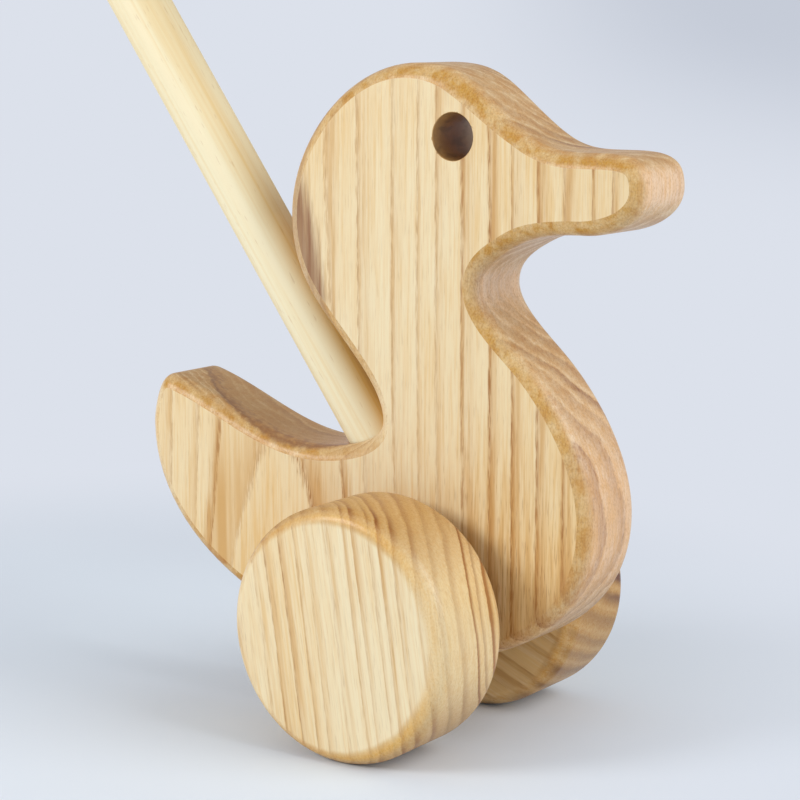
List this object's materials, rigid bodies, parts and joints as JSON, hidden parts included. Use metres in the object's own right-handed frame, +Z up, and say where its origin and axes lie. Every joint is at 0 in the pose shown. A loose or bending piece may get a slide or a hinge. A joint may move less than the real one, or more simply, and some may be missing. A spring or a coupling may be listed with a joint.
{
  "type": "duck push toy",
  "caption": "Wooden duck cut from a thick board with rounded edges and a drilled eye, rolling on a turning wheelset and pushed by a slanted stick with a ball grip.",
  "frame": {"origin": "on the floor under the middle of the toy, front to back and side to side", "axes": "+X forward along the bill, +Y to the duck's left along the axle, +Z up"},
  "size_m": [0.4115, 0.103, 0.5232],
  "materials": {
    "body_ash": "oiled ash, satin, growth lines upright",
    "wheel_ash": "oiled ash, satin",
    "axle_birch": "plain birch dowel",
    "washer_birch": "plain birch",
    "stick_birch": "pale birch dowel, sanded",
    "knob_ash": "oiled ash, satin, turned"
  },
  "bodies": {
    "duck": {"duck_body": "body_ash", "right_washer": "washer_birch", "left_washer": "washer_birch", "push_stick": "stick_birch", "grip_knob": "knob_ash"},
    "wheelset": {"axle": "axle_birch", "right_wheel": "wheel_ash", "left_wheel": "wheel_ash"}
  },
  "joints": [
    {"name": "wheelset_spin", "type": "hinge", "parent": "duck", "child": "wheelset", "pos_m": [0.12957, 0, 0.0375], "axis": [0, 1, 0], "continuous": true}
  ]
}
